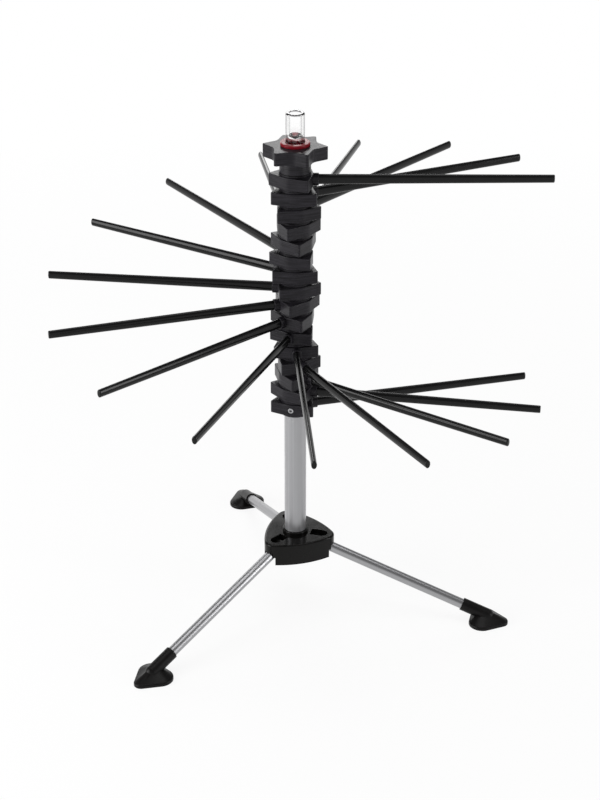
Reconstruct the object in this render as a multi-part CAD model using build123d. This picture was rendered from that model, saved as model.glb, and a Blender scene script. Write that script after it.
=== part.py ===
from build123d import *
import os
from math import cos, degrees, radians, sin, tan

# Pasta drying rack: a column on three folding legs carries sixteen arms in a spiral.
# Each arm sits in a three-cornered ring that turns on the column. A lug under every
# ring runs in a curved slot in the ring below, so the arms fan out one after another.
# Units are millimetres and degrees. The origin is on the floor at the column's axis,
# +Z is up and the top arm points along +X.

# Arms and their spiral
arm_count = 16
arm_step_angle = 25.0
arm_pitch = 13.68
arm_reach = 210.0
arm_rise_angle = 0.5
bottom_arm_height = 197.1
arm_root_width = 5.6
arm_root_height = 8.6
arm_tip_width = 4.4
arm_tip_height = 6.8
arm_end_fillet = 0.9
arm_socket_depth = 7.0

# Rings that carry the arms
ring_gap = 0.3
ring_block_height = 10.6
ring_side_radius = 14.8
ring_corner_reach = 21.6
ring_corner_radius = 1.4
ring_corner_angle = 60.0
ring_corner_count = 3
ring_core_radius = 13.4
ring_bore_clearance = 0.1
ring_edge_fillet = 0.5
ring_boss_reach = 19.2
ring_boss_wall = 1.3

# Lugs and slots that limit the turn of one ring on the next
stop_lug_width = 1.4
stop_lug_angle = 16.0
stop_lug_reach = 1.4
stop_slot_play = 0.3
stop_end_play = 0.05
stop_start_angle = 90.0
stop_count = 2

# Column tube
column_diameter = 19.0
column_wall = 1.0
seat_gap = 0.05

# Hub at the foot of the column
hub_side_radius = 80.0
hub_side_distance = 26.0
hub_side_angle = 60.0
hub_corner_radius = 9.4
hub_top_height = 70.0
hub_base_height = 50.0
hub_wall = 2.6
hub_roof = 4.0
hub_floor = 6.0
hub_core_radius = 13.4
hub_edge_fillet = 1.6
hub_collar_height = 3.0
hub_collar_wall = 1.8
hub_collar_fillet = 0.8
hub_leg_clearance = 0.3
hub_slot_end_reach = 29.3
hub_notch_width = 13.2
hub_notch_rise = 7.5

# Legs, their pivots and feet
leg_count = 3
leg_start_angle = -12.6
leg_slope_angle = 19.5
leg_axis_height = 69.0
leg_diameter = 9.0
leg_wall = 1.0
leg_pivot_reach = 19.0
leg_tube_start = 13.5
leg_tube_end_reach = 168.0
leg_plug_length = 14.0
leg_pin_diameter = 3.0
leg_pin_clearance = 0.05
leg_stop_gap = 0.2
foot_tip_reach = 194.8
foot_inner_reach = 160.7
foot_half_width = 17.0
foot_tip_radius = 6.6
foot_lobe_radius = 11.4
foot_rim_height = 3.2
foot_rim_fillet = 1.4
foot_dome_height = 8.6
foot_ridge_offset = 1.0
foot_ridge_radius = 3.2
foot_nose_radius = 2.2
foot_sleeve_wall = 1.25
foot_sleeve_start_reach = 153.0
foot_nose_reach = 182.0

# Knob on top of the stack
knob_height = 11.0
knob_lobe_reach = 27.6
knob_valley_reach = 18.6
knob_lobe_count = 6
knob_lobe_angle = -7.0
knob_tip_radius = 1.8
knob_valley_radius = 9.0
knob_edge_fillet = 0.6
knob_neck_height = 11.1
knob_neck_top_radius = 12.6
knob_neck_foot_radius = 13.0
knob_play = 0.3

# Bush in the column's top end, which holds the knob down and guides the wand
bush_flange_diameter = 24.4
bush_flange_height = 2.4
bush_flange_fillet = 0.9
bush_seat_depth = 1.4
bush_spigot_length = 14.0
bush_bore_diameter = 9.4

# Wand that is kept in the column
wand_head_diameter = 15.6
wand_head_height = 25.8
wand_head_clearance = 0.3
wand_rim_fillet = 1.4
wand_cup_diameter = 10.4
wand_cup_depth = 18.0
wand_cup_cone_depth = 3.4
wand_shaft_diameter = 8.4
wand_shaft_length = 262.0
wand_tip_radius = 2.0

# Fasteners
lock_screw_diameter = 5.0
lock_screw_socket = 2.5
lock_screw_socket_depth = 2.4
lock_screw_angle = 240.0
screw_chamfer = 0.4
foot_screw_diameter = 5.0
foot_screw_head_diameter = 9.0
foot_screw_head_height = 3.2
foot_screw_length = 18.0
foot_screw_socket = 3.0
foot_screw_socket_depth = 1.8
column_plug_length = 22.0

# One overrun serves every cut
overrun = 1.0

# Places that follow from the sizes above
column_radius = column_diameter / 2
column_bore_radius = column_radius - column_wall
column_base_height = hub_base_height + hub_floor
ring_height = arm_pitch - ring_gap
ring_bore_radius = column_radius + ring_bore_clearance
top_arm_height = bottom_arm_height + (arm_count - 1) * arm_pitch
knob_foot_height = top_arm_height + ring_height / 2 + ring_gap
knob_top_height = knob_foot_height + knob_neck_height + knob_height
column_top_height = knob_top_height + knob_play
stop_radius = (ring_bore_radius + ring_core_radius) / 2
stop_slot_width = stop_lug_width + 2 * stop_slot_play
stop_trim_angle = degrees((stop_slot_play - stop_end_play) / stop_radius)
leg_radius = leg_diameter / 2
leg_slot_width = leg_diameter + 2 * hub_leg_clearance
leg_pivot_height = leg_axis_height - leg_pivot_reach * tan(radians(leg_slope_angle))
leg_tube_end = (leg_tube_end_reach - leg_pivot_reach) / cos(radians(leg_slope_angle))
bush_seat_height = column_top_height + bush_flange_height - bush_seat_depth


def turned(shape, angle):
    """The shape turned about the column's axis."""
    return Rot(0, 0, angle) * shape


def at_leg(shape):
    """A shape drawn along +X from its pivot, put on the leg that points along +X."""
    return Pos(leg_pivot_reach, 0, leg_pivot_height) * Rot(0, leg_slope_angle, 0) * shape


def rod(radius, start, end):
    """A round bar along +X."""
    return Pos(start, 0, 0) * Rot(0, 90, 0) * Cylinder(
        radius, end - start, align=(Align.CENTER, Align.CENTER, Align.MIN)
    )


def round_hull(circles):
    """The outline stretched round some circles, each given as x, y and radius."""
    rims = [(Pos(x, y) * Circle(radius)).edge() for x, y, radius in circles]
    return make_hull(rims)


def curved_bar(width, start_angle, turn_angle):
    """A round-ended bar that follows the stops' circle."""
    path = CenterArc((0, 0), stop_radius, start_angle, turn_angle)
    return SlotArc(path, width)


# Rings and arms

def ring_outline():
    """A barrel with three corners, one each side of the arm and one behind it."""
    corner_centre = ring_corner_reach - ring_corner_radius
    circles = [(0, 0, ring_side_radius)]
    for index in range(ring_corner_count):
        angle = radians(ring_corner_angle + index * 360 / ring_corner_count)
        circles.append((corner_centre * cos(angle), corner_centre * sin(angle), ring_corner_radius))
    return round_hull(circles)


def arm_section(reach, clearance):
    """The arm's oval section at a distance from the column's axis."""
    share = (reach - ring_side_radius) / (arm_reach - ring_side_radius)
    width = arm_root_width + share * (arm_tip_width - arm_root_width)
    height = arm_root_height + share * (arm_tip_height - arm_root_height)
    plane = Plane(origin=(reach, 0, 0), x_dir=(0, 1, 0), z_dir=(1, 0, 0))
    return plane * Ellipse(width / 2 + clearance, height / 2 + clearance)


def make_arm():
    """A tapered oval rod with a softened end."""
    start = ring_boss_reach - arm_socket_depth + seat_gap
    body = loft([arm_section(start, 0), arm_section(arm_reach, 0)])
    end_edges = body.edges().group_by(Axis.X)[-1]
    return Rot(0, -arm_rise_angle, 0) * fillet(end_edges, arm_end_fillet)


def stop_lugs():
    """Lugs under a ring that reach through the gap into the slots of the ring below."""
    lugs = []
    depth = ring_gap + stop_lug_reach
    for index in range(stop_count):
        centre = stop_start_angle + index * 360 / stop_count
        face = curved_bar(stop_lug_width, centre - stop_lug_angle / 2, stop_lug_angle)
        lugs.append(Pos(0, 0, -ring_height / 2 - depth) * extrude(face, depth))
    return lugs


def stop_slots():
    """Slots in the top of a ring, as long as the lug and the turn of the ring above."""
    slots = []
    depth = stop_lug_reach + stop_slot_play
    turn = stop_lug_angle + arm_step_angle - 2 * stop_trim_angle
    for index in range(stop_count):
        end = stop_start_angle + index * 360 / stop_count + stop_lug_angle / 2 - stop_trim_angle
        face = curved_bar(stop_slot_width, end - turn, turn)
        slots.append(Pos(0, 0, ring_height / 2 - depth) * extrude(face, depth + overrun))
    return slots


def make_ring(with_lugs):
    """A ring about its own centre, with the arm's socket along +X."""
    block = extrude(ring_outline(), ring_block_height / 2, both=True)
    block = fillet(block.faces().filter_by(Axis.Z).edges(), ring_edge_fillet)
    boss_plane = Plane(origin=(0, 0, 0), x_dir=(0, 1, 0), z_dir=(1, 0, 0))
    boss_width = arm_root_width + 2 * ring_boss_wall
    boss_round = boss_width / 2 - seat_gap
    boss_face = boss_plane * RectangleRounded(boss_width, ring_block_height, boss_round)
    boss = extrude(boss_face, ring_boss_reach)
    boss = fillet(boss.edges().group_by(Axis.X)[-1], ring_edge_fillet)
    core = Cylinder(ring_core_radius, ring_height)
    ring = block + boss + core - Cylinder(ring_bore_radius, ring_height + overrun)
    socket_start = ring_boss_reach - arm_socket_depth
    socket = loft([
        arm_section(socket_start, seat_gap),
        arm_section(ring_boss_reach + overrun, seat_gap),
    ])
    ring = ring - Rot(0, -arm_rise_angle, 0) * socket
    for slot in stop_slots():
        ring = ring - slot
    if with_lugs:
        for lug in stop_lugs():
            ring = ring + lug
    return ring


def make_bottom_ring():
    """The lowest ring, with a threaded hole for the screw that locks it to the column."""
    hole = rod(lock_screw_diameter / 2 + seat_gap, 0, ring_corner_reach)
    return make_ring(False) - turned(hole, lock_screw_angle)


def make_lock_screw():
    """A headless screw with a hexagon socket, from the ring's side to the column."""
    start = column_radius + seat_gap
    screw = rod(lock_screw_diameter / 2, start, ring_side_radius)
    screw = chamfer(screw.edges().group_by(Axis.X)[-1], screw_chamfer)
    plane = Plane(origin=(ring_side_radius, 0, 0), x_dir=(0, 1, 0), z_dir=(1, 0, 0))
    socket = plane * RegularPolygon(lock_screw_socket / 2, 6, major_radius=False)
    screw = screw - extrude(socket, -lock_screw_socket_depth)
    return turned(screw, lock_screw_angle)


def arm_place(index):
    """Where the arm and ring of a number from the top sit, fanned out."""
    height = top_arm_height - (index - 1) * arm_pitch
    return Pos(0, 0, height) * Rot(0, 0, (index - 1) * arm_step_angle)


# Column, hub and legs

def make_column():
    """The tube that everything turns on."""
    height = column_top_height - column_base_height
    lowest = (Align.CENTER, Align.CENTER, Align.MIN)
    tube = Cylinder(column_radius, height, align=lowest)
    bore = Cylinder(column_bore_radius, height, align=lowest)
    return Pos(0, 0, column_base_height) * (tube - bore)


def hub_outline(inset):
    """A triangle with bowed sides whose corners point along the legs."""
    shift = hub_side_radius - hub_side_distance
    sides = []
    for index in range(leg_count):
        angle = radians(hub_side_angle + index * 360 / leg_count)
        centre = Pos(-shift * cos(angle), -shift * sin(angle))
        sides.append(centre * Circle(hub_side_radius - inset))
    outline = sides[0]
    for side in sides[1:]:
        outline = outline & side
    return fillet(outline.vertices(), hub_corner_radius - inset)


def leg_room():
    """The space that a leg and its knuckle need in the hub, open below."""
    inner = leg_pivot_reach - leg_radius - hub_leg_clearance
    height = hub_top_height - hub_base_height + 2 * overrun
    width = leg_slot_width
    outer = 2 * hub_side_distance
    top_slot = SlotOverall(hub_slot_end_reach - inner, width)
    top_slot = Pos((inner + hub_slot_end_reach) / 2, 0) * top_slot
    eye_room = Pos((inner + leg_pivot_reach) / 2, 0) * Rectangle(leg_pivot_reach - inner, width)
    room = Pos(0, 0, hub_base_height - overrun) * extrude(top_slot + eye_room, height)
    leg_top = leg_radius + leg_stop_gap
    below = Pos(outer / 2, 0, leg_top - height) * Box(outer, width, 2 * height)
    roof_cut = at_leg(below)
    pocket = Pos((inner + leg_radius + outer) / 2, 0, hub_base_height + height / 2 - overrun)
    pocket = pocket * Box(outer - inner - leg_radius, width, height)
    notch_start = hub_side_distance
    notch = Pos(notch_start + outer / 2, 0, hub_base_height)
    notch = notch * Box(outer, hub_notch_width, 2 * hub_notch_rise)
    return room + (pocket & roof_cut) + notch


def make_hub():
    """The moulded hub: a hollow block with a slot for each leg and a socket for the column."""
    lowest = (Align.CENTER, Align.CENTER, Align.MIN)
    height = hub_top_height - hub_base_height
    hub = Pos(0, 0, hub_base_height) * extrude(hub_outline(0), height)
    hub = fillet(hub.faces().sort_by(Axis.Z)[-1].edges(), hub_edge_fillet)
    collar_radius = column_radius + hub_collar_wall
    collar_top = hub_top_height + hub_collar_height
    collar = Cylinder(collar_radius, collar_top - hub_base_height, align=lowest)
    collar = fillet(collar.edges().sort_by(Axis.Z)[-1], hub_collar_fillet)
    hub = hub + Pos(0, 0, hub_base_height) * collar
    cored = hub_outline(hub_wall) - Circle(hub_core_radius)
    for index in range(leg_count):
        beam_width = leg_slot_width + 2 * hub_wall
        beam = Pos(hub_side_distance, 0) * Rectangle(2 * hub_side_distance, beam_width)
        cored = cored - turned(beam, index * 360 / leg_count)
    hub = hub - Pos(0, 0, hub_base_height) * extrude(cored, height - hub_roof)
    pin_length = leg_slot_width + 2 * hub_wall
    pin_hole = Pos(leg_pivot_reach, 0, leg_pivot_height) * Rot(90, 0, 0)
    pin_hole = pin_hole * Cylinder(leg_pin_diameter / 2 + seat_gap, pin_length)
    for index in range(leg_count):
        hub = hub - turned(leg_room(), index * 360 / leg_count)
        hub = hub - turned(pin_hole, index * 360 / leg_count)
    socket_height = collar_top - column_base_height + overrun
    socket = Cylinder(column_radius + seat_gap, socket_height, align=lowest)
    hub = hub - Pos(0, 0, column_base_height) * socket
    screw_hole = Cylinder(foot_screw_diameter / 2 + seat_gap, 2 * hub_floor)
    head_depth = foot_screw_head_height + seat_gap
    head_hole = Cylinder(foot_screw_head_diameter / 2 + seat_gap, 2 * head_depth)
    hub = hub - Pos(0, 0, column_base_height) * screw_hole - Pos(0, 0, hub_base_height) * head_hole
    return turned(hub, leg_start_angle)


def make_column_plug():
    """The plug in the column's lower end that the hub's screw bites into."""
    lowest = (Align.CENTER, Align.CENTER, Align.MIN)
    plug = Cylinder(column_bore_radius - seat_gap, column_plug_length, align=lowest)
    bore_length = foot_screw_length - hub_floor + foot_screw_head_height + overrun
    bore = Cylinder(foot_screw_diameter / 2 + seat_gap, bore_length, align=lowest)
    return Pos(0, 0, column_base_height) * (plug - bore)


def make_column_screw():
    """The socket screw that draws the column into the hub."""
    lowest = (Align.CENTER, Align.CENTER, Align.MIN)
    head = Cylinder(foot_screw_head_diameter / 2, foot_screw_head_height, align=lowest)
    head = chamfer(head.edges().sort_by(Axis.Z)[0], screw_chamfer)
    shank = Cylinder(foot_screw_diameter / 2, foot_screw_length, align=lowest)
    shank = Pos(0, 0, foot_screw_head_height) * shank
    hexagon = RegularPolygon(foot_screw_socket / 2, 6, major_radius=False)
    socket = extrude(hexagon, foot_screw_socket_depth)
    return Pos(0, 0, hub_base_height) * (head + shank - socket)


def make_leg_pins():
    """The three cross pins that the legs swing on."""
    pin = Cylinder(leg_pin_diameter / 2, leg_slot_width + 2 * hub_wall)
    pin = chamfer(pin.edges().filter_by(GeomType.CIRCLE), screw_chamfer)
    pin = Pos(leg_pivot_reach, 0, leg_pivot_height) * Rot(90, 0, 0) * pin
    pins = [turned(pin, leg_start_angle + index * 360 / leg_count) for index in range(leg_count)]
    return Compound(children=pins)


def make_leg_knuckle():
    """The moulded end of a leg: an eye for the pin and a plug in the tube."""
    eye_width = leg_slot_width - 2 * hub_leg_clearance
    eye = Rot(90, 0, 0) * Cylinder(leg_radius, eye_width)
    neck = rod(leg_radius, 0, leg_tube_start - seat_gap)
    plug = rod(leg_radius - leg_wall - seat_gap, 0, leg_tube_start + leg_plug_length)
    knuckle = eye + neck + plug
    hole = Rot(90, 0, 0) * Cylinder(leg_pin_diameter / 2 + leg_pin_clearance, 2 * eye_width)
    return at_leg(knuckle - hole)


def make_leg_tube():
    """The straight tube of a leg."""
    tube = rod(leg_radius, leg_tube_start, leg_tube_end)
    bore = rod(leg_radius - leg_wall, leg_tube_start - overrun, leg_tube_end + overrun)
    return at_leg(tube - bore)


def foot_face(height, inset, tip_reach, lobe_offset, lobe_radius, tip_radius):
    """A pick-shaped outline of the foot at one height."""
    lobe_centre = foot_inner_reach + foot_lobe_radius
    circles = [
        (tip_reach - tip_radius, 0, tip_radius - inset),
        (lobe_centre, lobe_offset, lobe_radius - inset),
        (lobe_centre, -lobe_offset, lobe_radius - inset),
    ]
    return Pos(0, 0, height) * round_hull(circles)


def make_foot():
    """A flat pick-shaped pad that swells into the sleeve on the tube's end."""
    lobe_offset = foot_half_width - foot_lobe_radius
    pad = extrude(
        foot_face(0, 0, foot_tip_reach, lobe_offset, foot_lobe_radius, foot_tip_radius), foot_rim_height
    )
    pad = fillet(pad.faces().sort_by(Axis.Z)[-1].edges(), foot_rim_fillet)
    dome_level = foot_rim_height - seat_gap
    dome_base = foot_face(
        dome_level, foot_rim_fillet, foot_tip_reach, lobe_offset, foot_lobe_radius, foot_tip_radius
    )
    dome_top = foot_face(
        foot_dome_height, 0, foot_nose_reach, foot_ridge_offset, foot_ridge_radius, foot_nose_radius
    )
    dome = loft([dome_base, dome_top], ruled=True)
    sleeve_radius = leg_radius + foot_sleeve_wall
    slope = cos(radians(leg_slope_angle))
    sleeve_start = (foot_sleeve_start_reach - leg_pivot_reach) / slope
    nose = (foot_nose_reach - sleeve_radius - leg_pivot_reach) / slope
    sleeve = rod(sleeve_radius, sleeve_start, nose)
    sleeve = sleeve + Pos(nose, 0, 0) * Sphere(sleeve_radius)
    foot = pad + dome + at_leg(sleeve)
    under = Box(foot_tip_reach, foot_tip_reach, foot_tip_reach)
    under = Pos(foot_tip_reach, 0, -foot_tip_reach / 2) * under
    bore = rod(leg_radius + seat_gap, sleeve_start - overrun, leg_tube_end + seat_gap)
    return foot - under - at_leg(bore)


# Knob, bush and wand

def knob_outline():
    """A star with six lobes and hollow flanks."""
    points = []
    for index in range(knob_lobe_count):
        tip = radians(index * 360 / knob_lobe_count)
        valley = radians((index + 0.5) * 360 / knob_lobe_count)
        points.append((knob_lobe_reach * cos(tip), knob_lobe_reach * sin(tip)))
        points.append((knob_valley_reach * cos(valley), knob_valley_reach * sin(valley)))
    star = make_face(Polyline(*points, close=True))
    middle = (knob_lobe_reach + knob_valley_reach) / 2
    tips = [v for v in star.vertices() if Vector(v.X, v.Y, 0).length > middle]
    star = fillet(tips, knob_tip_radius)
    valleys = [v for v in star.vertices() if Vector(v.X, v.Y, 0).length < middle]
    valleys = sorted(valleys, key=lambda v: Vector(v.X, v.Y, 0).length)[:knob_lobe_count]
    return fillet(valleys, knob_valley_radius)


def make_knob():
    """The star knob with its neck, keyed into the slots of the top ring."""
    star = extrude(knob_outline(), knob_height)
    star = fillet(star.faces().filter_by(Axis.Z).edges(), knob_edge_fillet)
    star = turned(Pos(0, 0, knob_neck_height) * star, knob_lobe_angle)
    neck = Cone(
        knob_neck_foot_radius, knob_neck_top_radius, knob_neck_height + overrun,
        align=(Align.CENTER, Align.CENTER, Align.MIN),
    )
    bore = Cylinder(ring_bore_radius, 4 * knob_height + 2 * knob_neck_height)
    knob = star + neck - bore
    depth = ring_gap + stop_lug_reach
    turn = stop_lug_angle + arm_step_angle - 2 * stop_trim_angle
    for index in range(stop_count):
        end = stop_start_angle + index * 360 / stop_count + stop_lug_angle / 2 - stop_trim_angle
        key = extrude(curved_bar(stop_slot_width - 2 * seat_gap, end - turn, turn), depth)
        knob = knob + Pos(0, 0, -depth) * key
    return Pos(0, 0, knob_foot_height) * knob


def make_bush():
    """The flanged bush, turned about the column's axis."""
    flange_radius = bush_flange_diameter / 2
    spigot_radius = column_bore_radius - seat_gap
    seat_radius = wand_head_diameter / 2 + wand_head_clearance
    bore_radius = bush_bore_diameter / 2
    seat_level = bush_flange_height - bush_seat_depth
    profile = Polyline(
        (bore_radius, -bush_spigot_length),
        (spigot_radius, -bush_spigot_length),
        (spigot_radius, 0),
        (flange_radius, 0),
        (flange_radius, bush_flange_height),
        (seat_radius, bush_flange_height),
        (seat_radius, seat_level),
        (bore_radius, seat_level),
        close=True,
    )
    bush = revolve(Plane.XZ * make_face(profile), Axis.Z)
    rim = bush.edges().filter_by(GeomType.CIRCLE).sort_by(Axis.Z)[-2:].sort_by(SortBy.RADIUS)[-1]
    bush = fillet(rim, bush_flange_fillet)
    return Pos(0, 0, column_top_height) * bush


def make_wand():
    """The clear pick-up wand: a cupped head on a straight shaft."""
    head_radius = wand_head_diameter / 2
    cup_radius = wand_cup_diameter / 2
    shaft_radius = wand_shaft_diameter / 2
    cup_floor = wand_head_height - wand_cup_depth
    profile = Polyline(
        (0, -wand_shaft_length),
        (shaft_radius, -wand_shaft_length),
        (shaft_radius, 0),
        (head_radius, 0),
        (head_radius, wand_head_height),
        (cup_radius, wand_head_height),
        (cup_radius, cup_floor),
        (0, cup_floor - wand_cup_cone_depth),
        close=True,
    )
    wand = revolve(Plane.XZ * make_face(profile), Axis.Z)
    circles = wand.edges().filter_by(GeomType.CIRCLE)
    top = circles.sort_by(Axis.Z)[-2:].sort_by(SortBy.RADIUS)[-1]
    wand = fillet(top, wand_rim_fillet)
    tip = wand.edges().filter_by(GeomType.CIRCLE).sort_by(Axis.Z)[0]
    wand = fillet(tip, wand_tip_radius)
    return Pos(0, 0, bush_seat_height) * wand


def main():
    """Write one file for each piece."""
    os.makedirs("parts", exist_ok=True)
    ring = make_ring(True)
    arm = make_arm()
    pieces = {
        "column_tube": make_column(),
        "tripod_hub": make_hub(),
        "column_plug": make_column_plug(),
        "column_screw": make_column_screw(),
        "leg_pivot_pins": make_leg_pins(),
        "lock_screw": arm_place(arm_count) * make_lock_screw(),
        "turning_knob": make_knob(),
        "top_bush": make_bush(),
        "pickup_wand": make_wand(),
    }
    for index in range(1, arm_count):
        pieces[f"ring_{index:02d}"] = arm_place(index) * ring
    pieces[f"ring_{arm_count:02d}"] = arm_place(arm_count) * make_bottom_ring()
    for index in range(1, arm_count + 1):
        pieces[f"arm_{index:02d}"] = arm_place(index) * arm
    for index in range(leg_count):
        angle = leg_start_angle + index * 360 / leg_count
        pieces[f"leg_{index + 1}_knuckle"] = turned(make_leg_knuckle(), angle)
        pieces[f"leg_{index + 1}_tube"] = turned(make_leg_tube(), angle)
        pieces[f"leg_{index + 1}_foot"] = turned(make_foot(), angle)
    for name, piece in pieces.items():
        export_step(piece, f"parts/{name}.step")


main()
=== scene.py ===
from math import radians

import bpy
from mathutils import Matrix, Vector


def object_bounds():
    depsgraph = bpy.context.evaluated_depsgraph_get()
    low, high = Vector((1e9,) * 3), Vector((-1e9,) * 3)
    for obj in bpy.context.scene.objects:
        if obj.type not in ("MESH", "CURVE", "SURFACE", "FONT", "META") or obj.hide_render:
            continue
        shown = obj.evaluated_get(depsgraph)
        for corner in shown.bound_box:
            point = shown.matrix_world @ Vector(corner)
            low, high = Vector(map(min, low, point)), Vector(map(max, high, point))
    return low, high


# Looks of a pasta drying rack: moulded black plastic, aluminium tubes, a red bush and a
# clear wand, on a white floor under soft lamps. Lengths are in metres, angles in degrees
# and the lamps' powers in watts.

# One millimetre, for the sizes of patterns
millimetre = 0.001

# Sizes of surface patterns
grain_size = 0.7 * millimetre          # spark-eroded grain, drawn coarser than the real 0.1 mm
grain_depth = 0.05 * millimetre
mottle_size = 18 * millimetre          # slow change of gloss over a moulding
ripple_size = 9 * millimetre           # flow ripples in a polished moulding
ripple_depth = 0.1 * millimetre
draw_line_width = 2.2 * millimetre     # draw lines, drawn coarser than the real 0.05 mm
draw_line_length = 300 * millimetre
draw_line_depth = 0.02 * millimetre
turned_mark_size = 0.25 * millimetre   # tool marks on a screw

# Range that a noise pattern mostly keeps to
pattern_low = 0.3
pattern_high = 0.7

# How the grain is stretched: not at all, or along level lines as on the rings
even_grain = (1, 1, 1)
level_lines = (0.04, 0.04, 1)

# Legs
leg_count = 3
leg_start_angle = -12.6
leg_slope_angle = 19.5

# Wand: its rounded lip, which carries a painted grey ring, and how far edge-on a wall is where
# its painted dark outline, a painted shade, starts and is full
lip_height = 1.6 * millimetre
painted_shade_start = 0.3
painted_shade_end = 0.8

# Camera, fitted to the arms, the legs and the knob. The picture's height and the focal
# length are in pixels.
picture_height = 800
focal_length = 1792.9
sensor_height = 36.0                   # millimetres, as Blender states lenses
camera_place = Vector((0.02806, -1.37421, 0.90995))
camera_heading = 1.0015
camera_pitch = 27.2983
camera_roll = 0.0518
camera_reach = 50

# Floor: its share of pure white grows between two distances from the column
floor_reach = 12.0
floor_colour = "#fafafa"
near_white_share = 0.87
far_white_share = 1.0
white_start = 0.25
white_end = 1.3

# Room: a white backdrop all round, a dim ceiling, and the light that both give. The first
# two values are upward parts of a direction of length one.
backdrop_top = 0.1
ceiling_start = 0.5
backdrop_strength = 1.0
ceiling_strength = 0.3
room_strength = 0.3

# Lamps, all turned to the middle of the rack
rack_middle = Vector((0, 0, 0.25))
lamps = {
    "overhead": {"place": (0.1, 0.2, 1.9), "width": 1.4, "height": 1.0, "power": 10},
    "back": {"place": (-0.65, 3.0, 1.42), "width": 2.0, "height": 0.78, "power": 23},
    "key": {"place": (-1.3, -0.55, 0.55), "width": 0.9, "height": 1.0, "power": 18},
    "strip": {"place": (1.4, -0.5, 0.55), "width": 0.3, "height": 1.0, "power": 6},
}


# Colours and nodes

def linear(hex_colour):
    """An sRGB hex colour as linear red, green, blue and a full alpha."""
    shares = [int(hex_colour[place:place + 2], 16) / 255 for place in (1, 3, 5)]
    values = [s / 12.92 if s <= 0.04045 else ((s + 0.055) / 1.055) ** 2.4 for s in shares]
    return (*values, 1.0)


def add_node(tree, kind, settings=None, links=None):
    """A node of a kind, with its properties or socket values set and its inputs linked."""
    node = tree.nodes.new(kind)
    for name, value in (settings or {}).items():
        if name in node.inputs:
            node.inputs[name].default_value = value
        else:
            setattr(node, name, value)
    for name, source in (links or {}).items():
        tree.links.new(source, node.inputs[name])
    return node


def new_material(name):
    """An empty material with its output node."""
    material = bpy.data.materials.new(name)
    material.use_nodes = True
    tree = material.node_tree
    tree.nodes.clear()
    output = add_node(tree, "ShaderNodeOutputMaterial")
    return material, tree, output


def stretched_noise(tree, size, stretch=even_grain, turn=(0, 0, 0), detail=3.0):
    """Noise with a given size in metres, on Object coordinates turned and then stretched."""
    place = add_node(tree, "ShaderNodeTexCoord")
    turned = add_node(
        tree, "ShaderNodeMapping", {"vector_type": "TEXTURE", "Rotation": turn},
        {"Vector": place.outputs["Object"]},
    )
    scaled = add_node(
        tree, "ShaderNodeMapping", {"vector_type": "POINT", "Scale": stretch},
        {"Vector": turned.outputs["Vector"]},
    )
    return add_node(
        tree, "ShaderNodeTexNoise", {"Scale": 1 / size, "Detail": detail},
        {"Vector": scaled.outputs["Vector"]},
    )


def spread(tree, source, low, high):
    """A pattern's usual range carried to the range from low to high."""
    return add_node(
        tree, "ShaderNodeMapRange",
        {"From Min": pattern_low, "From Max": pattern_high, "To Min": low, "To Max": high},
        {"Value": source.outputs["Fac"]},
    )


def colour_ramp(tree, source, start, end):
    """A ramp between two stops, each a position and a hex colour."""
    ramp = add_node(tree, "ShaderNodeValToRGB", {}, {"Fac": source})
    for stop, (position, hex_colour) in zip(ramp.color_ramp.elements, (start, end)):
        stop.position = position
        stop.color = linear(hex_colour)
    return ramp


def tinted(tree, source, dark, light):
    """A pattern's usual range carried from one colour to another."""
    return colour_ramp(
        tree, source.outputs["Fac"], (pattern_low, dark), (pattern_high, light)
    )


# Materials

def moulded_abs(name, dark, light, gloss, level, relief, stretch=even_grain, painted_line_highlights=False):
    """Black ABS from a finely textured mould."""
    # The mould's fine grain spreads each highlight and greys it. On the rings and the knob
    # it is drawn out into fine level lines, as a turned mould leaves, and these lines are
    # painted lighter and darker, a painted highlight for the light they catch. The gloss
    # changes slowly over a moulding, where the plastic cooled at different rates.
    material, tree, output = new_material(name)
    grain = stretched_noise(tree, grain_size, stretch)
    mottle = stretched_noise(tree, mottle_size)
    bump = add_node(
        tree, "ShaderNodeBump", {"Strength": relief, "Distance": grain_depth},
        {"Height": grain.outputs["Fac"]},
    )
    # On the rings and the knob the tint follows the level lines, and their lighter colour is a
    # painted highlight.
    tint = tinted(tree, grain if painted_line_highlights else mottle, dark, light)
    shader = add_node(
        tree, "ShaderNodeBsdfPrincipled", {"IOR": 1.53, "Specular IOR Level": level},
        {
            "Base Color": tint.outputs["Color"],
            "Roughness": spread(tree, mottle, gloss - 0.03, gloss + 0.03).outputs["Result"],
            "Normal": bump.outputs["Normal"],
        },
    )
    tree.links.new(shader.outputs["BSDF"], output.inputs["Surface"])
    return material


def polished_abs():
    """Black ABS from a polished mould."""
    # Highlights are narrow and bright, and flow ripples along the bar make them waver.
    material, tree, output = new_material("polished_abs")
    ripple = stretched_noise(tree, ripple_size, detail=1.0)
    bump = add_node(
        tree, "ShaderNodeBump", {"Strength": 0.03, "Distance": ripple_depth},
        {"Height": ripple.outputs["Fac"]},
    )
    shader = add_node(
        tree, "ShaderNodeBsdfPrincipled", {"IOR": 1.53, "Specular IOR Level": 0.18},
        {
            "Base Color": tinted(tree, ripple, "#0b0b0b", "#0f0f10").outputs["Color"],
            "Roughness": spread(tree, ripple, 0.13, 0.17).outputs["Result"],
            "Normal": bump.outputs["Normal"],
        },
    )
    tree.links.new(shader.outputs["BSDF"], output.inputs["Surface"])
    return material


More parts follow.
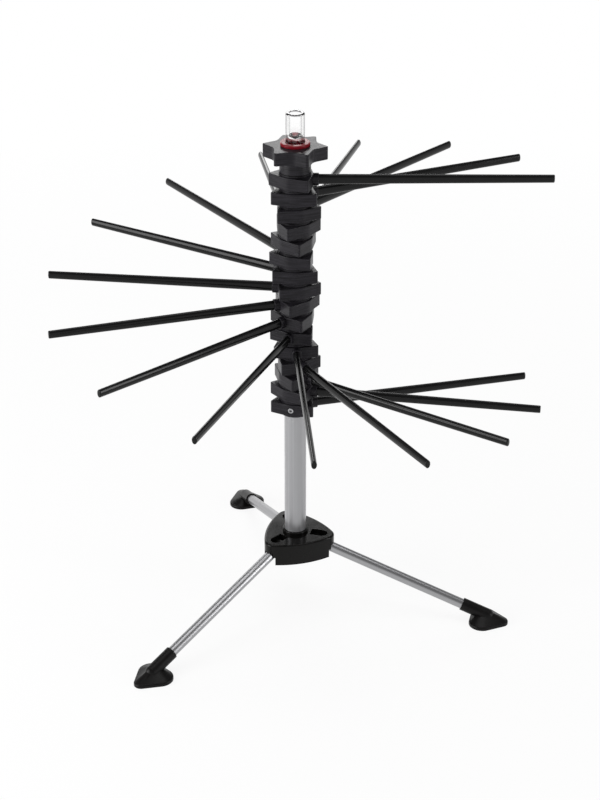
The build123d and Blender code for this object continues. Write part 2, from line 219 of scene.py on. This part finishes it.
def drawn_aluminium(name, dark, light, turn=(0, 0, 0), metallic=1.0):
    """Aluminium tube with draw lines along its length."""
    # Fine lines along the tube spread highlights across it, so they run as soft bands
    # from end to end. The lines differ a little in brightness. An anodised tube also
    # has a clear skin that scatters some light, which makes it part matt.
    material, tree, output = new_material(name)
    stretch = (1, 1, draw_line_width / draw_line_length)
    lines = stretched_noise(tree, draw_line_width, stretch, turn, detail=1.0)
    bump = add_node(
        tree, "ShaderNodeBump", {"Strength": 0.02, "Distance": draw_line_depth},
        {"Height": lines.outputs["Fac"]},
    )
    shader = add_node(
        tree, "ShaderNodeBsdfPrincipled", {"Metallic": metallic},
        {
            "Base Color": tinted(tree, lines, dark, light).outputs["Color"],
            "Roughness": spread(tree, lines, 0.28, 0.32).outputs["Result"],
            "Normal": bump.outputs["Normal"],
        },
    )
    tree.links.new(shader.outputs["BSDF"], output.inputs["Surface"])
    return material


def red_acrylic():
    """Polished translucent red acrylic, moulded."""
    # Light enters it and comes back deep red, brighter at thin edges.
    material, tree, output = new_material("red_acrylic")
    ripple = stretched_noise(tree, ripple_size)
    shader = add_node(
        tree, "ShaderNodeBsdfPrincipled",
        {"IOR": 1.49, "Specular IOR Level": 0.1, "Transmission Weight": 0.35},
        {
            "Base Color": tinted(tree, ripple, "#8e1020", "#a4182a").outputs["Color"],
            "Roughness": spread(tree, ripple, 0.26, 0.34).outputs["Result"],
        },
    )
    tree.links.new(shader.outputs["BSDF"], output.inputs["Surface"])
    return material


def clear_polycarbonate(top):
    """Clear polycarbonate, moulded and polished, of a piece whose lip is at a given height."""
    # It bends what is behind it. Where a wall turns edge-on its base colour is painted dark, a
    # painted shade for the light that leaves sideways there, so the rim and the cup show as
    # dark lines. The rounded lip is painted as a grey ring, a painted reflection of a room's
    # darker parts.
    material, tree, output = new_material("clear_polycarbonate")
    ripple = stretched_noise(tree, ripple_size)
    edge = add_node(tree, "ShaderNodeLayerWeight", {"Blend": 0.5})
    # Painted shade: the base colour goes from white to dark grey as a wall turns edge-on.
    painted_edge_shade = colour_ramp(
        tree, edge.outputs["Facing"], (painted_shade_start, "#ffffff"), (painted_shade_end, "#3a383a")
    )
    place = add_node(tree, "ShaderNodeTexCoord")
    height = add_node(tree, "ShaderNodeSeparateXYZ", {}, {"Vector": place.outputs["Object"]})
    # Painted reflection: a mask by height for the grey ring painted on the rounded lip.
    painted_lip_ring = add_node(
        tree, "ShaderNodeMapRange",
        {"From Min": top - lip_height, "From Max": top - lip_height / 2},
        {"Value": height.outputs["Z"]},
    )
    # The lip's painted grey ring is mixed over the painted dark outline.
    tint = add_node(
        tree, "ShaderNodeMixRGB", {"Color2": linear("#6e6c6e")},
        {"Fac": painted_lip_ring.outputs["Result"], "Color1": painted_edge_shade.outputs["Color"]},
    )
    shader = add_node(
        tree, "ShaderNodeBsdfPrincipled", {"IOR": 1.58, "Transmission Weight": 1.0},
        {
            "Base Color": tint.outputs["Color"],
            "Roughness": spread(tree, ripple, 0.01, 0.04).outputs["Result"],
        },
    )
    tree.links.new(shader.outputs["BSDF"], output.inputs["Surface"])
    return material


def turned_steel():
    """Plated steel, turned and pressed."""
    # Small tool marks break up the reflections.
    material, tree, output = new_material("turned_steel")
    marks = stretched_noise(tree, turned_mark_size)
    shader = add_node(
        tree, "ShaderNodeBsdfPrincipled", {"Metallic": 1.0},
        {
            "Base Color": tinted(tree, marks, "#a4a4a6", "#b6b6b8").outputs["Color"],
            "Roughness": spread(tree, marks, 0.25, 0.38).outputs["Result"],
        },
    )
    tree.links.new(shader.outputs["BSDF"], output.inputs["Surface"])
    return material


def dress(frame, rack_top):
    """Give every CAD node the material of the real piece. The wand's lip is the rack's top."""
    plastic = moulded_abs(
        "satin_abs", "#0b0a09", "#11100f", gloss=0.13, level=0.14, relief=0.2
    )
    # Rings and knob: the lighter level lines are painted highlights.
    ring_plastic = moulded_abs(
        "lined_abs", "#0d0c0f", "#2c2a2f", gloss=0.34, level=0.14, relief=0.8,
        stretch=level_lines, painted_line_highlights=True,
    )
    foot_plastic = moulded_abs(
        "foot_abs", "#0c0b0b", "#131212", gloss=0.34, level=0.12, relief=0.3
    )
    arm_plastic = polished_abs()
    steel = turned_steel()
    dressed = {
        "column_tube": drawn_aluminium(
            "anodised_aluminium", "#9a9a9c", "#a6a6a8", metallic=0.6
        ),
        "top_bush": red_acrylic(),
        "pickup_wand": clear_polycarbonate(rack_top),
        "lock_screw": steel,
        "column_screw": steel,
        "leg_pivot_pins": steel,
    }
    for index in range(leg_count):
        heading = leg_start_angle + index * 360 / leg_count
        turn = (0, radians(90 + leg_slope_angle), radians(heading))
        dressed[f"leg_{index + 1}_tube"] = drawn_aluminium(
            f"drawn_aluminium_{index + 1}", "#9c9c9e", "#a6a6a8", turn
        )
    for name, node in frame["nodes"].items():
        material = dressed.get(name, plastic)
        if name.startswith("arm_"):
            material = arm_plastic
        elif name.startswith("ring_") or name == "turning_knob":
            material = ring_plastic
        elif name.endswith("_foot"):
            material = foot_plastic
        for holder in node.material_slots:
            holder.material = material


# Floor, lamps and camera

def background_rays(tree):
    """One for rays that show the background: from the camera, off a gloss or through glass."""
    rays = add_node(tree, "ShaderNodeLightPath")
    seen = rays.outputs["Is Camera Ray"]
    for kind in ("Is Glossy Ray", "Is Transmission Ray"):
        either = add_node(tree, "ShaderNodeMath", {"operation": "MAXIMUM"})
        tree.links.new(seen, either.inputs[0])
        tree.links.new(rays.outputs[kind], either.inputs[1])
        seen = either.outputs["Value"]
    return seen


def floor_paper():
    """White studio paper."""
    # It takes the rack's shadow near the column, and shows as pure white further out.
    material, tree, output = new_material("floor_paper")
    place = add_node(tree, "ShaderNodeTexCoord")
    reach = add_node(
        tree, "ShaderNodeVectorMath", {"operation": "LENGTH"},
        {"Vector": place.outputs["Object"]},
    )
    share = add_node(
        tree, "ShaderNodeMapRange",
        {"From Min": white_start, "From Max": white_end, "To Min": near_white_share,
         "To Max": far_white_share},
        {"Value": reach.outputs["Value"]},
    )
    white_share = add_node(tree, "ShaderNodeMath", {"operation": "MULTIPLY"})
    tree.links.new(background_rays(tree), white_share.inputs[0])
    tree.links.new(share.outputs["Result"], white_share.inputs[1])
    paper = add_node(tree, "ShaderNodeBsdfDiffuse", {"Color": linear(floor_colour)})
    white = add_node(
        tree, "ShaderNodeEmission", {"Color": linear("#ffffff"), "Strength": 1.0}
    )
    both = add_node(tree, "ShaderNodeMixShader", {}, {"Fac": white_share.outputs["Value"]})
    tree.links.new(paper.outputs["BSDF"], both.inputs[1])
    tree.links.new(white.outputs["Emission"], both.inputs[2])
    tree.links.new(both.outputs["Shader"], output.inputs["Surface"])
    return material


def lay_floor():
    """A flat floor under the rack."""
    directions = [(-1, -1), (1, -1), (1, 1), (-1, 1)]
    corners = [(x * floor_reach, y * floor_reach, 0) for x, y in directions]
    mesh = bpy.data.meshes.new("floor")
    mesh.from_pydata(corners, [], [range(len(corners))])
    mesh.materials.append(floor_paper())
    floor = bpy.data.objects.new("floor", mesh)
    bpy.context.collection.objects.link(floor)


def hang_lamp(name, place, width, height, power):
    """A soft rectangular lamp that faces the middle of the rack."""
    lamp = bpy.data.lights.new(name, "AREA")
    lamp.shape = "RECTANGLE"
    lamp.size = width
    lamp.size_y = height
    lamp.energy = power
    holder = bpy.data.objects.new(name, lamp)
    holder.location = place
    holder.rotation_euler = (rack_middle - Vector(place)).to_track_quat("-Z", "Y").to_euler()
    bpy.context.collection.objects.link(holder)


def light_studio():
    """A pale room, with lamps overhead, behind, and standing low on the left and the right."""
    # The camera sees the backdrop's white everywhere. Glossy surfaces and glass find the
    # backdrop with the dim ceiling above it, and matt ones only the room's own light.
    world = bpy.data.worlds.new("studio")
    bpy.context.scene.world = world
    world.use_nodes = True
    tree = world.node_tree
    tree.nodes.clear()
    output = add_node(tree, "ShaderNodeOutputWorld")
    direction = add_node(tree, "ShaderNodeTexCoord")
    height = add_node(
        tree, "ShaderNodeSeparateXYZ", {}, {"Vector": direction.outputs["Generated"]}
    )
    backdrop = add_node(
        tree, "ShaderNodeMapRange",
        {"From Min": backdrop_top, "From Max": ceiling_start, "To Min": backdrop_strength,
         "To Max": ceiling_strength},
        {"Value": height.outputs["Z"]},
    )
    lit = add_node(
        tree, "ShaderNodeMapRange", {"To Min": room_strength},
        {"Value": background_rays(tree), "To Max": backdrop.outputs["Result"]},
    )
    rays = add_node(tree, "ShaderNodeLightPath")
    strength = add_node(
        tree, "ShaderNodeMapRange", {"To Max": backdrop_strength},
        {"Value": rays.outputs["Is Camera Ray"], "To Min": lit.outputs["Result"]},
    )
    room = add_node(
        tree, "ShaderNodeBackground", {"Color": linear("#ffffff")},
        {"Strength": strength.outputs["Result"]},
    )
    tree.links.new(room.outputs["Background"], output.inputs["Surface"])
    for name, lamp in lamps.items():
        hang_lamp(name, **lamp)


def set_camera():
    """The camera at the photograph's place."""
    lens = bpy.data.cameras.new("camera")
    lens.lens = focal_length * sensor_height / picture_height
    lens.clip_end = camera_reach
    camera = bpy.data.objects.new("camera", lens)
    turn = Matrix.Rotation(radians(camera_heading), 4, "Z")
    tilt = Matrix.Rotation(radians(90 - camera_pitch), 4, "X")
    roll = Matrix.Rotation(radians(camera_roll), 4, "Z")
    camera.matrix_world = Matrix.Translation(camera_place) @ turn @ tilt @ roll
    bpy.context.collection.objects.link(camera)
    bpy.context.scene.camera = camera


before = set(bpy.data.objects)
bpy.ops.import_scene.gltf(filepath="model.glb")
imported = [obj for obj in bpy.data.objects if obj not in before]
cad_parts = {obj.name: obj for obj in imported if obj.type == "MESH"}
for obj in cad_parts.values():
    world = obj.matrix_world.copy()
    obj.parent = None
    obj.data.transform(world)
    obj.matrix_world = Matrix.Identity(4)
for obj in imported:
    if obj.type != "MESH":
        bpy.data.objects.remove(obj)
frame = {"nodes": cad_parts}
cad_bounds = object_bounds()
dress(frame, cad_bounds[1].z)
lay_floor()
light_studio()
set_camera()
bpy.context.scene.view_settings.view_transform = "Standard"
